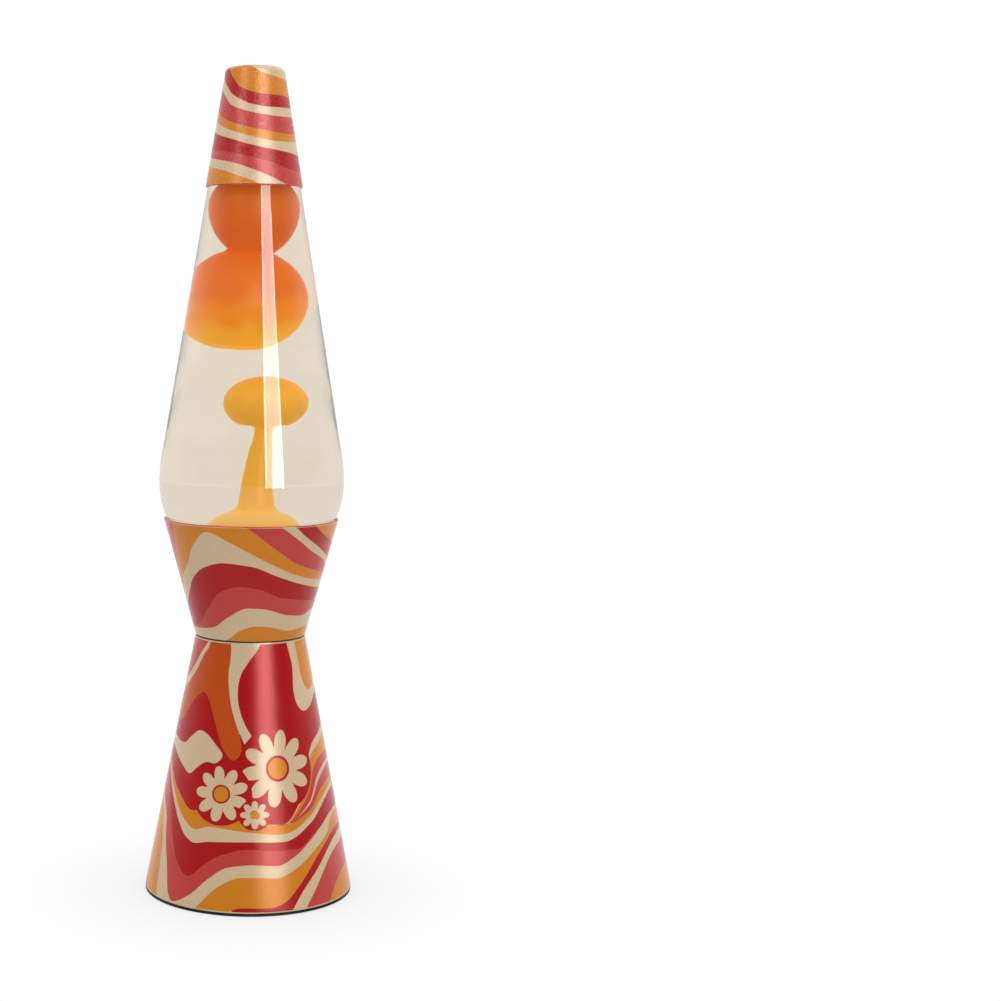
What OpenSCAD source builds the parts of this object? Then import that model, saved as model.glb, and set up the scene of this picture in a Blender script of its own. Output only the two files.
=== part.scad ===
// Lava lamp: a waisted metal stand in two cones, a tapered glass bottle of liquid and wax, and a cone cap.
// Origin at the centre of the underside, on the surface that the feet stand on. Z is up, the cord inlet faces +Y.

/* [Stand] */
// Outer radius at the foot of the stand
base_r = 51.3; // [50:0.1:52]
// Outer radius at the waist, where the two cones meet
waist_r = 26.8; // [26.5:0.1:27.5]
// Height of the waist
waist_z = 127; // [126:0.5:128]
// Outer radius of the upper cone's rim
rim_r = 42.6; // [42.4:0.1:43]
// Height of the upper cone's rim
rim_z = 184; // [183.5:0.1:184.5]
// Sheet thickness of the spun cones
sheet = 0.7; // [0.6:0.05:0.75]
// Thickness of the printed film on the cones
film = 0.2; // [0.1:0.05:0.2]

/* [Bottle] */
// Widest radius of the bottle
belly_r = 45.1; // [44.8:0.1:45.2]
// Height of the widest point
belly_z = 202; // [201.8:0.1:202.5]
// Inward taper of the bottle above the belly, radius per height
taper = 0.1673; // [0.166:0.0001:0.168]
// Glass thickness
glass = 2.4; // [2:0.1:2.6]
// Height of the bottle's foot
bottle_z = 141; // [140:0.5:142]

/* [Cap] */
// Outer radius of the cap's open edge
cap_r = 23.5; // [23.4:0.1:24]
// Outer radius of the cap's top
cap_top_r = 14; // [13.5:0.1:14.5]
// Height of the cap's open edge
cap_z = 343.6; // [343:0.1:344]
// Overall height of the lamp
lamp_h = 400; // [399:0.5:401]

/* [Bulb and lampholder] */
// Radius of the reflector bulb
bulb_r = 19.5; // [19:0.1:19.5]
// Height of the bulb's contact
bulb_z = 66; // [65:0.5:66]
// Length of the bulb
bulb_l = 67; // [66:0.5:67]
// Crest radius of the bulb cap's thread
thread_r = 6.95; // [6.9:0.01:6.95]
// Thread pitch of the bulb cap
thread_pitch = 2.82; // [2.8:0.01:2.84]

/* [Hidden] */
$fn = 96;

gap = 0.05;                // play between pieces of one body that only meet
plate_z = 0.5;             // underside of the base plate, above the feet
plate_t = 1.4;             // thickness of the base plate
shell_z = plate_z + plate_t;
flange_t = 1;              // thickness of the cones' inward flanges
gasket_t = 0.8;            // thickness of the waist gasket
hem = 1;                   // height of the upper cone's hemmed rim
holder_z = waist_z + gasket_t / 2;
base_top_z = waist_z - gasket_t / 2;
throat_r = 21;             // hole through the waist that the bulb passes
foot_flange_r = 42;        // inner edge of the flange under the base cone
rivet_circle = 23.2;       // circle of the waist rivets
rivet_r = 1.2;
screw_circle = 45.8;       // circle of the base plate's screws
screw_r = 1.4;
grommet_z = 18;            // height of the cord inlet
grommet_bore = 3.4;
grommet_neck = 5;
base_lean = atan((base_r - waist_r) / waist_z);

function base_cone(z) = base_r + (waist_r - base_r) * z / waist_z;
function holder_cone(z) = waist_r + (rim_r - waist_r) * (z - waist_z) / (rim_z - waist_z);
function cap_cone(z) = cap_r + (cap_top_r - cap_r) * (z - cap_z) / (lamp_h - cap_z);

// Bottle: belly arcs run between the straight taper above and the straight taper below
taper_angle = atan(taper);
upper_arc = 69;            // radius of the belly above its widest point
lower_arc = 45;            // radius of the belly below its widest point
lower_angle = 25;          // lean of the wall inside the holder
shoulder_z = 361;          // top of the straight taper
neck_r = 12.4;
neck_z = 369;
lip_r = 13.3;              // crown finish
lip_z = 378;
mouth_r = 8.6;
mouth_z = 383;
heel = 4;                  // radius of the foot's edge
taper_start = [belly_r - upper_arc * (1 - cos(taper_angle)), belly_z + upper_arc * sin(taper_angle)];
lower_start = [belly_r - lower_arc * (1 - cos(lower_angle)), belly_z - lower_arc * sin(lower_angle)];
shoulder_r = taper_start[0] - (shoulder_z - taper_start[1]) * taper;
function lower_line(z) = lower_start[0] - (lower_start[1] - z) * tan(lower_angle);
foot_r = lower_line(bottle_z + heel);
// Wall of the bottle from the foot to the shoulder, taken in by t
function wall(t, foot) = [
    [lower_line(foot) - t, foot],
    for (a = [lower_angle:-5:0]) [belly_r - t - lower_arc * (1 - cos(a)), belly_z - lower_arc * sin(a)],
    for (i = [1:4]) let(a = taper_angle * i / 4)
        [belly_r - t - upper_arc * (1 - cos(a)), belly_z + upper_arc * sin(a)],
    [shoulder_r - t, shoulder_z]
];
// Shoulder that rolls in from radius a at the top of the taper to radius b at the neck
function shoulder(a, b, top) = [
    for (i = [1:6]) let(s = i / 6) [b + (a - b) * (1 + cos(180 * s)) / 2, shoulder_z + (top - shoulder_z) * s]
];
floor_z = bottle_z + 4.6;  // inside of the bottle's foot
corner_z = floor_z + 2;
floor_r = lower_line(corner_z) - glass - 2;
liquid_z = shoulder_z + (neck_z - shoulder_z) / 2; // top of the liquid, half way up the shoulder

// Wax: three balls and a neck make the bubble that drifts; each ball is [x, middle, radius, half height]
big_ball = [-3, 288, 23, 24];
low_ball = [-8, 281, 19, 15.5];
small_ball = [0, 331, 16.5, 20];
bubble_neck = 8;
drift_down = 9;
drift_up = 8;
play = 1;                  // room round the drifting bubble
function ball(z, mid, r, h) = r * sqrt(max(0, 1 - pow((z - mid) / h, 2)));
pool_z = 160;              // height of the settled wax at the wall
coil_ring = 14;            // the coil's ring radius
coil_r = 3.2;              // radius of its turns
coil_wire = 0.45;
coil_z = floor_z + coil_r + 1.6;
mushroom_x = 5;
mushroom_z = 240;
column_x = 1.5;

bulb_top = bulb_z + bulb_l;
thread_z = bulb_z + 5.2;   // lowest turn of the bulb cap's thread
turns = 5;
skirt_z = 92;              // top of the lampholder's skirt
bridge_z = 43;             // underside of the bracket's bridge
strap = 1.2;               // thickness of the bracket's strip

module turned(points) {
    rotate_extrude() polygon(points);
}

module tube(outer, inner, z0, z1) {
    difference() {
        translate([0, 0, z0]) cylinder(r = outer, h = z1 - z0);
        translate([0, 0, z0 - 1]) cylinder(r = inner, h = z1 - z0 + 2);
    }
}

module disc(r, z0, z1) {
    translate([0, 0, z0]) cylinder(r = r, h = z1 - z0);
}

// Children repeated n times on a circle of radius r, starting at angle first
module around(n, r, first = 0) {
    for (i = [0:n - 1])
        rotate(first + 360 * i / n) translate([r, 0, 0]) children();
}

// Frame of the cord inlet: its Z runs outwards, square to the base cone at the back
module at_inlet() {
    translate([0, base_cone(grommet_z), grommet_z]) rotate([-90 + base_lean, 0, 0]) children();
}

// ---- cap ----

module cap_shell() {
    e = 2.6;               // rounding of the top edge
    color("silver") turned([
        [cap_cone(cap_z) - film, cap_z],
        [cap_cone(lamp_h - e) - film, lamp_h - e],
        for (a = [15:15:75]) [cap_cone(lamp_h - e) - film - e * (1 - cos(a)), lamp_h - film - e * (1 - sin(a))],
        [cap_cone(lamp_h - e) - film - e, lamp_h - film],
        [0, lamp_h - film],
        [0, lamp_h - film - sheet],
        [cap_cone(lamp_h - e) - film - e, lamp_h - film - sheet],
        [cap_cone(lamp_h - e) - film - sheet, lamp_h - e - sheet],
        [cap_cone(cap_z) - film - sheet, cap_z]
    ]);
}

module cap_wrap() {
    e = 2.6;
    lo = cap_z + 0.3;      // the film stops short of the cut edge
    color("chocolate") turned([
        [cap_cone(lo), lo],
        [cap_cone(lamp_h - e), lamp_h - e],
        for (a = [15:15:75]) [cap_cone(lamp_h - e) - e * (1 - cos(a)), lamp_h - e * (1 - sin(a))],
        [cap_cone(lamp_h - e) - e, lamp_h],
        [0, lamp_h],
        [0, lamp_h - film],
        [cap_cone(lamp_h - e) - film - e, lamp_h - film],
        for (a = [75:-15:15])
            [cap_cone(lamp_h - e) - film - e * (1 - cos(a)), lamp_h - film - e * (1 - sin(a))],
        [cap_cone(lamp_h - e) - film, lamp_h - e],
        [cap_cone(lo) - film, lo]
    ]);
}

// ---- bottle and what it holds ----

module glass_bottle() {
    color("lightcyan", 0.3) turned([
        [0, bottle_z + 2],
        [foot_r - 9, bottle_z + 1.6],
        [foot_r - heel - 2, bottle_z],
        for (a = [0:22.5:67.5]) [foot_r - heel * (1 - sin(a)), bottle_z + heel * (1 - cos(a))],
        each wall(0, bottle_z + heel),
        each shoulder(shoulder_r, neck_r, neck_z),
        [neck_r, lip_z - 1],
        [lip_r, lip_z],
        [lip_r, mouth_z - 0.6],
        [lip_r - 0.6, mouth_z],
        [mouth_r, mouth_z],
        [mouth_r, neck_z + 2],
        for (i = [6:-1:1]) shoulder(shoulder_r - glass, mouth_r, neck_z)[i - 1],
        each [for (i = [len(wall(glass, corner_z)) - 1:-1:0]) wall(glass, corner_z)[i]],
        [floor_r, floor_z],
        [0, floor_z]
    ]);
}

module crown_cap() {
    flutes = 21;
    flute_r = 14.3;
    depth = 0.35;
    skirt = lip_z - 0.4;
    plate = mouth_z + 0.7;
    color("gainsboro") {
        difference() {
            translate([0, 0, skirt]) linear_extrude(plate - skirt)
                polygon([for (i = [0:flutes * 6 - 1]) let(a = 60 * i / flutes)
                    (flute_r + depth * cos(flutes * a)) * [cos(a), sin(a)]]);
            disc(lip_r + 0.1, skirt - 1, plate);
        }
        translate([0, 0, plate]) cylinder(r1 = flute_r - depth, r2 = lip_r - 0.6, h = 0.5);
    }
}

module crown_liner() {
    color("whitesmoke") disc(lip_r - 0.1, mouth_z, mouth_z + 0.7);
}

module liquid() {
    color("wheat", 0.4) difference() {
        turned([
            [0, pool_z],
            each wall(glass, pool_z),
            for (p = shoulder(shoulder_r - glass, mouth_r, neck_z)) if (p[1] <= liquid_z) p,
            [0, liquid_z]
        ]);
        wax_solid();
        bubble_solid(play, drift_down, drift_up);
    }
}

// The bubble grown by more, over its travel from down below its place to up above it
module bubble_solid(more, down, up) {
    module grown(b) {
        r = b[2] + more;
        h = b[3] + more;
        arc = [for (a = [0:15:90]) [r * cos(a), h * sin(a)]];
        translate([b[0], 0, 0]) turned(concat(
            [for (i = [6:-1:0]) [arc[i][0], b[1] - down - arc[i][1]]],
            [for (p = arc) if (p[1] > 0 || down + up > 0) [p[0], b[1] + up + p[1]]]
        ));
    }
    grown(big_ball);
    grown(low_ball);
    grown(small_ball);
    translate([(big_ball[0] + small_ball[0]) / 2, 0, 0])
        disc(bubble_neck + more, big_ball[1], small_ball[1]);
}

// Settled wax: pool, mound, leaning column and mushroom
module wax_solid() {
    step = 2.5;
    neck = 3.1;
    foot = 6.5;
    column_z = 189;
    lean = atan((mushroom_x - column_x) / (mushroom_z - column_z));
    pool_r = lower_line(pool_z) - glass;
    turned([
        [0, floor_z],
        [floor_r, floor_z],
        [lower_line(corner_z) - glass, corner_z],
        [pool_r, pool_z],
        [pool_r - 3, pool_z + 4],
        [23, 172],
        [20, 181],
        [17, 187],
        [12, 190.5],
        [0, 191.5]
    ]);
    translate([column_x, 0, column_z - 4]) rotate([0, lean, 0])
        cylinder(r1 = foot + 1, r2 = neck, h = mushroom_z - 8 - column_z);
    translate([mushroom_x, 0, 0]) turned([
        [0, mushroom_z - 13],
        for (z = [-12:step:12]) [ball(z, 0, 15.6, 13), mushroom_z + z],
        [0, mushroom_z + 13]
    ]);
}

module wax_column() {
    color("orange") difference() {
        wax_solid();
        rotate_extrude() translate([coil_ring, coil_z]) circle(r = coil_r + coil_wire + 0.3);
    }
}

// Closed coil spring that lies in the settled wax, swept along a helix wound round a ring
module wax_coil() {
    loops = 24;
    per_loop = 8;
    sides = 5;
    n = loops * per_loop;
    function centre(t) = let(a = t * 360, b = t * 360 * loops)
        [(coil_ring + coil_r * cos(b)) * cos(a), (coil_ring + coil_r * cos(b)) * sin(a), coil_z + coil_r * sin(b)];
    function unit(v) = v / norm(v);
    function ring(t) =
        let(
            ahead = unit(centre(t + 0.0005) - centre(t - 0.0005)),
            out = unit(centre(t) - [coil_ring * cos(t * 360), coil_ring * sin(t * 360), coil_z]),
            side = cross(ahead, out)
        )
        [for (k = [0:sides - 1]) centre(t) + coil_wire * (cos(360 * k / sides) * out + sin(360 * k / sides) * side)];
    color("lightsteelblue") polyhedron(
        points = [for (i = [0:n - 1]) each ring(i / n)],
        faces = [
            for (i = [0:n - 1], k = [0:sides - 1])
                let(j = (i + 1) % n, m = (k + 1) % sides)
                each [
                    [i * sides + k, j * sides + k, j * sides + m],
                    [i * sides + k, j * sides + m, i * sides + m]
                ]
        ]
    );
}

module wax_bubble() {
    color("darkorange") bubble_solid(0, 0, 0);
}

// ---- upper cone, which holds the bottle ----

// The rim is hemmed: its edge is turned over into a small round bead
module holder_shell() {
    hem_r = (film + sheet) / 2;
    color("silver") difference() {
        turned([
            [holder_cone(holder_z) - film, holder_z],
            [holder_cone(rim_z - hem) - film, rim_z - hem],
            for (a = [-30:30:210]) [rim_r - hem_r + hem_r * cos(a), rim_z - hem_r + hem_r * sin(a)],
            [holder_cone(holder_z + flange_t) - film - sheet, holder_z + flange_t],
            [throat_r, holder_z + flange_t],
            [throat_r, holder_z]
        ]);
        around(3, rivet_circle, 30) disc(rivet_r + gap, holder_z - 1, holder_z + 2);
    }
}

module holder_wrap() {
    lo = holder_z + 0.3;
    hi = rim_z - hem;
    color("indianred") turned([
        [holder_cone(lo), lo],
        [holder_cone(hi), hi],
        [holder_cone(hi) - film, hi],
        [holder_cone(lo) - film, lo]
    ]);
}

module waist_gasket() {
    color("black") difference() {
        tube(waist_r - 0.3, throat_r, base_top_z, holder_z);
        around(3, rivet_circle, 30) disc(rivet_r + gap, base_top_z - 1, holder_z + 1);
    }
}

module waist_rivets() {
    head = 2.1;
    low = base_top_z - flange_t - strap;
    high = holder_z + flange_t;
    color("silver") around(3, rivet_circle, 30) {
        disc(rivet_r, low - 0.1, high + 0.1);
        translate([0, 0, high]) cylinder(r1 = head, r2 = head - 0.7, h = 0.7);
        translate([0, 0, low - 0.9]) cylinder(r1 = head - 0.7, r2 = head - 0.2, h = 0.9);
    }
}

// ---- base cone ----

module base_shell() {
    color("silver") difference() {
        turned([
            [base_cone(shell_z) - film, shell_z],
            [base_cone(base_top_z) - film, base_top_z],
            [throat_r, base_top_z],
            [throat_r, base_top_z - flange_t],
            [base_cone(base_top_z - flange_t) - film - sheet, base_top_z - flange_t],
            [base_cone(shell_z + flange_t) - film - sheet, shell_z + flange_t],
            [foot_flange_r, shell_z + flange_t],
            [foot_flange_r, shell_z]
        ]);
        around(3, rivet_circle, 30) disc(rivet_r + gap, base_top_z - 3, base_top_z + 1);
        around(3, screw_circle, 90) disc(screw_r + gap, shell_z - 1, shell_z + 3);
        at_inlet() disc(grommet_neck + gap, -6, 6);
    }
}

module base_wrap() {
    lo = shell_z + 0.6;
    hi = base_top_z - 0.3;
    color("firebrick") difference() {
        turned([
            [base_cone(lo), lo],
            [base_cone(hi), hi],
            [base_cone(hi) - film, hi],
            [base_cone(lo) - film, lo]
        ]);
        at_inlet() disc(grommet_neck + gap, -6, 6);
    }
}

module base_plate() {
    rim = 1.4;
    slot_w = 3;
    slot_l = 11;
    color("dimgray") difference() {
        union() {
            disc(base_cone(shell_z) - 0.1, plate_z, shell_z);
            tube(foot_flange_r - 0.4, foot_flange_r - 0.4 - rim, shell_z - 0.1, shell_z + 3);
            for (r = [16, 33]) tube(r, r - rim, shell_z - 0.1, shell_z + 2);
        }
        around(3, screw_circle, 90) {
            disc(screw_r + gap, plate_z - 1, shell_z + 1);
            translate([0, 0, plate_z - 0.01]) cylinder(r1 = 2.7, r2 = screw_r + gap, h = 1.3);
        }
        around(12, 24) cube([slot_l, slot_w, 3 * plate_t], center = true);
        disc(14, plate_z - 1, plate_z + 0.4);
    }
}

module base_screws() {
    head = 2.6;
    point_z = 9;
    color("silver") around(3, screw_circle, 90) difference() {
        union() {
            translate([0, 0, plate_z + 0.05]) cylinder(r1 = head, r2 = screw_r, h = 1.2);
            disc(screw_r, plate_z + 1.2, point_z - 1.6);
            translate([0, 0, point_z - 1.6]) cylinder(r1 = screw_r, r2 = 0.2, h = 1.6);
            for (i = [0:2]) translate([0, 0, shell_z + flange_t + 0.4 + 1.1 * i]) {
                cylinder(r1 = screw_r, r2 = screw_r + 0.3, h = 0.4);
                translate([0, 0, 0.4]) cylinder(r1 = screw_r + 0.3, r2 = screw_r, h = 0.4);
            }
        }
        for (turn = [0, 90]) rotate(turn)
            translate([0, 0, plate_z]) cube([3.2, 0.6, 1.4], center = true);
    }
}

module base_feet() {
    color("black") around(4, 36, 45) {
        cylinder(r1 = 5.6, r2 = 6, h = 0.3);
        disc(6, 0.3, plate_z);
    }
}

module cord_grommet() {
    flange = 6.4;
    color("black") at_inlet() difference() {
        union() {
            translate([0, 0, 0.1]) cylinder(r1 = flange, r2 = flange - 0.7, h = 1.2);
            disc(grommet_neck, -1.8, 0.2);
            translate([0, 0, -3]) cylinder(r1 = grommet_neck - 0.4, r2 = grommet_neck + 0.9, h = 1.4);
        }
        disc(grommet_bore, -8, 8);
    }
}

// ---- lampholder on its bracket ----

module socket_bracket() {
    width = 10;
    leg_x = 22.6;
    ring_top = base_top_z - flange_t;
    color("lightgray") difference() {
        union() {
            tube(24.9, throat_r, ring_top - strap, ring_top);
            for (side = [-1, 1]) translate([side * (leg_x + strap / 2), 0, (ring_top - 0.1 + bridge_z) / 2])
                cube([strap, width, ring_top - 0.1 - bridge_z], center = true);
            translate([0, 0, bridge_z + strap / 2])
                cube([2 * (leg_x + strap), width, strap], center = true);
            disc(11, bridge_z, bridge_z + strap);
        }
        around(3, rivet_circle, 30) disc(rivet_r + gap, ring_top - 2, ring_top + 1);
        disc(5 + gap, bridge_z - 1, bridge_z + 2);
    }
}

module socket_nipple() {
    color("gainsboro") tube(5, 3.8, bridge_z - 5.5, bridge_z + strap + 7);
}

module socket_locknut() {
    color("gainsboro") difference() {
        translate([0, 0, bridge_z - 3.8]) cylinder(r = 8.1, h = 3, $fn = 6);
        disc(5 + gap, bridge_z - 5, bridge_z);
    }
}

module socket_washer() {
    color("gainsboro") tube(9, 5 + gap, bridge_z - 0.8, bridge_z);
}

module socket_housing() {
    r = 13;
    lap = 12;
    lo = bridge_z + strap;
    color("ivory") difference() {
        union() {
            disc(r, lo + 1.2, 58);
            translate([0, 0, lo]) cylinder(r1 = r - 1.2, r2 = r, h = 1.2);
            disc(lap, 58, 64);
            around(12, r, 15) disc(0.5, lo + 2, 57);
        }
        disc(9.8, lo + 3, 70);
        disc(10.4, 54, 70);
        disc(5 + gap, lo - 1, lo + 4);
    }
}

module socket_insert() {
    color("white") difference() {
        union() {
            disc(10.3, 54, 62);
            tube(10.3, 8.1, 61, 66);
        }
        around(2, 7.4, 90) disc(1.3 + gap, 53, 61);
        disc(2, 53, 70);
    }
}

module socket_terminals() {
    color("goldenrod") around(2, 7.4, 90) {
        disc(1.3, 53.9, 60.5);
        difference() {
            disc(2.3, 52.4, 54);
            translate([0, 0, 52.4]) cube([5, 0.7, 1.2], center = true);
        }
    }
}

// Radius of the thread's crest line by height
function thread(z, r) = r - 0.3 * (1 - cos(360 * (z - thread_z) / thread_pitch));

module socket_screw_shell() {
    lo = 62;
    hi = thread_z + turns * thread_pitch - 1;
    wall_t = 0.4;
    r = thread_r + 0.12;   // running play round the bulb's thread
    zs = [for (i = [0:turns * 6]) thread_z - 1.4 + i * (hi - thread_z + 1.4) / (turns * 6)];
    color("gold") turned([
        [r - 0.6, lo],
        for (z = zs) [thread(z, r), z],
        for (i = [len(zs) - 1:-1:0]) [thread(zs[i], r) + wall_t, zs[i]],
        [r - 0.6 + wall_t, lo + wall_t],
        [r + 0.7, lo + wall_t],
        [r + 0.7, lo]
    ]);
}

// Sprung leaf: a flat tail on the insert, a riser and a crowned tongue under the bulb's contact
module socket_contact() {
    w = 4;
    t = 0.4;
    color("gold") {
        translate([-4.6, -w / 2, 62]) cube([6.4, w, t]);
        translate([-4.6, -w / 2, 62]) cube([t, w, 3]);
        translate([-4.6, -w / 2, 65 - t]) cube([7, w, t]);
        translate([0, 0, 65 - t]) cylinder(r1 = 1.6, r2 = 1, h = bulb_z - gap - 65 + t);
    }
}

module socket_skirt() {
    r = 13.9;
    ribs = 24;
    color("ivory") difference() {
        union() {
            disc(r - 0.4, 58.1, skirt_z - 1.4);
            translate([0, 0, skirt_z - 1.4]) cylinder(r1 = r - 0.4, r2 = r - 1.6, h = 1.4);
            around(ribs, r - 0.4) disc(0.5, 60, skirt_z - 4);
        }
        disc(12 + gap, 57, 66.5);
        disc(11.4, 66, skirt_z - 3);
        disc(9.4, 66, skirt_z + 1);
    }
}

// ---- reflector bulb ----

module bulb_glass() {
    wall_t = 0.8;
    neck = 6;
    lip = bulb_z + 21;
    wide_z = bulb_z + 52;
    dome = bulb_top - wide_z;
    function side(s) = neck + (bulb_r - neck) * (1 - cos(180 * s)) / 2;
    color("white", 0.6) turned([
        [neck, lip - 4],
        [neck, lip],
        for (s = [0.1:0.1:1]) [side(s), lip + (wide_z - lip) * s],
        for (a = [15:15:75]) [bulb_r * cos(a), wide_z + dome * sin(a)],
        [0, bulb_top],
        [0, bulb_top - wall_t],
        for (a = [75:-15:15]) [(bulb_r - wall_t) * cos(a), wide_z + (dome - wall_t) * sin(a)],
        for (s = [1:-0.1:0.1]) [side(s) - wall_t, lip + (wide_z - lip) * s],
        [neck - wall_t, lip],
        [neck - wall_t, lip - 4]
    ]);
}

module bulb_cap() {
    hi = thread_z + turns * thread_pitch;
    wall_t = 0.3;
    zs = [for (i = [0:turns * 8]) thread_z - 1.4 + i * (hi - thread_z + 1.4) / (turns * 8)];
    color("silver") turned([
        [4.4, bulb_z + 3.4],
        for (z = zs) [thread(z, thread_r), z],
        [thread_r, hi + 0.4],
        [thread_r + 0.3, hi + 2.2],
        [thread_r, hi + 2.2],
        [thread_r - wall_t, hi + 0.4],
        for (i = [len(zs) - 1:-1:0]) [thread(zs[i], thread_r) - wall_t, zs[i]],
        [4.4, bulb_z + 3.4 + wall_t]
    ]);
}

module bulb_insulator() {
    color("black") turned([
        [2.2, bulb_z + 1.1],
        [4.4, bulb_z + 3.3],
        [4.4, bulb_z + 4.2],
        [2.2, bulb_z + 4.2]
    ]);
}

module bulb_contact() {
    color("silver") turned([
        [0, bulb_z],
        [1.2, bulb_z + 0.15],
        [2.1, bulb_z + 0.9],
        [2.1, bulb_z + 3],
        [0, bulb_z + 3]
    ]);
}

// Glass mount inside the bulb: flare, tube and pinch
module bulb_stem() {
    lo = bulb_z + 17.2;
    color("lightcyan", 0.5) {
        turned([
            [5.1, lo], [5.1, lo + 0.8], [2.6, lo + 5], [2.6, lo + 12],
            [0, lo + 12], [0, lo + 10], [1.6, lo + 9.5], [1.6, lo + 5], [4.2, lo]
        ]);
        translate([0, 0, lo + 14]) cube([5.6, 2.2, 5], center = true);
    }
}

module bulb_lead_wires() {
    lo = bulb_z + 33.8;
    color("lightsteelblue") for (side = [-1, 1])
        translate([side * 2, 0, lo]) rotate([0, side * 16, 0]) cylinder(r = 0.3, h = 13);
}

module bulb_filament() {
    wire = 0.4;
    color("gray") translate([0, 0, bulb_z + 46.4]) rotate([90, 0, 0])
        rotate_extrude(angle = 180) translate([5.3, 0]) circle(r = wire);
}

cap_shell();
cap_wrap();
glass_bottle();
crown_cap();
crown_liner();
liquid();
wax_column();
wax_coil();
wax_bubble();
holder_shell();
holder_wrap();
waist_gasket();
waist_rivets();
base_shell();
base_wrap();
base_plate();
base_screws();
base_feet();
cord_grommet();
socket_bracket();
socket_nipple();
socket_locknut();
socket_washer();
socket_housing();
socket_insert();
socket_terminals();
socket_screw_shell();
socket_contact();
socket_skirt();
bulb_glass();
bulb_cap();
bulb_insulator();
bulb_contact();
bulb_stem();
bulb_lead_wires();
bulb_filament();
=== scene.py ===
"""Looks of a waisted lava lamp: film on spun metal cones, a bottle of liquid and wax, and its inner works."""

import math

import bmesh
import bpy
import numpy as np
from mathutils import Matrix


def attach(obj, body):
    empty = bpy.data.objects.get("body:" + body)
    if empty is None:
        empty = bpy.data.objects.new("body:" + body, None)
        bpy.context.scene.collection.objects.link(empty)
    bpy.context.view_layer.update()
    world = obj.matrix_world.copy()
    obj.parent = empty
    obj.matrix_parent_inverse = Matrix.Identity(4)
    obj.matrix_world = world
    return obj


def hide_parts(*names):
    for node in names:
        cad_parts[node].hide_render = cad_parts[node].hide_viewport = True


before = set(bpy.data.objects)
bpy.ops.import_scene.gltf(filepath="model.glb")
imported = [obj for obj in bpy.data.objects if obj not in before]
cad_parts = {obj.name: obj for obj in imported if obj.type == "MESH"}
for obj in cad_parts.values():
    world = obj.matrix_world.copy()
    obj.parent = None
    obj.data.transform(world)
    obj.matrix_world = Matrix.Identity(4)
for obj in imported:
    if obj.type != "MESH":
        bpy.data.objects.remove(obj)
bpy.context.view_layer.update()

MM = 0.001

# Sizes of the lamp in millimetres, as in the CAD model. First the stand: two cones that meet at the waist
BASE_R, WAIST_R, WAIST_Z = 51.3, 26.8, 127.0
RIM_R, RIM_Z = 42.6, 184.0
SHELL_Z = 1.9
HEM_R = 0.45
GASKET = 0.8
INLET_Z, INLET_HOLE_R = 18.0, 5.05
# The cap
CAP_R, CAP_TOP_R, CAP_Z, LAMP_H = 23.5, 14.0, 343.6, 400.0
CAP_EDGE = 2.6
# The printed film, the plain strip along its edges, and how far it stands off the rim's roll
FILM, FILM_HEM = 0.2, 0.6
SKIN_GAP = 0.04
# The bottle, from its foot to its mouth
BOTTLE_Z, HEEL = 141.0, 4.0
BELLY_R, BELLY_Z = 45.1, 202.0
UPPER_ARC, LOWER_ARC, LOWER_ANGLE = 69.0, 45.0, 25.0
TAPER = 0.1673
SHOULDER_Z, NECK_R, NECK_Z = 361.0, 12.4, 369.0
LIP_R, LIP_Z = 13.3, 378.0
MOUTH_R, MOUTH_Z = 8.6, 383.0
GLASS = 2.4
FLOOR_Z = BOTTLE_Z + 4.6
LIQUID_Z = (SHOULDER_Z + NECK_Z) / 2

# Each cone as the (radius, height) of its lower and upper ends
BASE_CONE = ((BASE_R, 0), (WAIST_R, WAIST_Z))
HOLDER_CONE = ((WAIST_R, WAIST_Z), (RIM_R, RIM_Z))
CAP_CONE = ((CAP_R, CAP_Z), (CAP_TOP_R, LAMP_H))


# ---- materials ----


def srgb(red, green, blue):
    """A colour given as 0 to 255 on screen, as the shader's linear colour."""
    linear = [((c / 255 + 0.055) / 1.055) ** 2.4 if c > 10 else c / 255 / 12.92 for c in (red, green, blue)]
    return (*linear, 1.0)


def add_node(mat, kind, inputs=None, **settings):
    """A shader node. An input's value is a number, a colour or the socket that feeds it."""
    made = mat.node_tree.nodes.new("ShaderNode" + kind)
    for name, value in settings.items():
        setattr(made, name, value)
    for name, value in (inputs or {}).items():
        if isinstance(value, bpy.types.NodeSocket):
            mat.node_tree.links.new(value, made.inputs[name])
        else:
            made.inputs[name].default_value = value
    return made


def new_material(name, **constants):
    """A Principled material with constants on its own sockets, such as Metallic=1."""
    mat = bpy.data.materials.new(name)
    mat.use_nodes = True
    shader = mat.node_tree.nodes["Principled BSDF"]
    for socket, value in constants.items():
        shader.inputs[socket.replace("_", " ")].default_value = value
    return mat, shader


def feed(mat, shader, socket, source):
    mat.node_tree.links.new(source, shader.inputs[socket])


def show(owner, source, output="Material Output"):
    """Makes a shader the one that a material or the world shows."""
    feed(owner, owner.node_tree.nodes[output], "Surface", source)


def places(mat, stretch=(1, 1, 1)):
    """The piece's own coordinates in metres, scaled by stretch."""
    coordinates = add_node(mat, "TexCoord").outputs["Object"]
    return add_node(mat, "Mapping", {"Vector": coordinates, "Scale": stretch}).outputs["Vector"]


def noise(mat, scale, stretch=(1, 1, 1), detail=3.0):
    """A noise with so many cells to a metre."""
    inputs = {"Vector": places(mat, stretch), "Scale": scale, "Detail": detail}
    return add_node(mat, "TexNoise", inputs).outputs["Fac"]


# A noise's value lies mostly between these
NOISE_LOW, NOISE_HIGH = 0.3, 0.7


def spread(mat, value, low, high):
    """A noise's value spread over low to high."""
    inputs = {"Value": value, "From Min": NOISE_LOW, "From Max": NOISE_HIGH, "To Min": low, "To Max": high}
    return add_node(mat, "MapRange", inputs).outputs["Result"]


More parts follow.
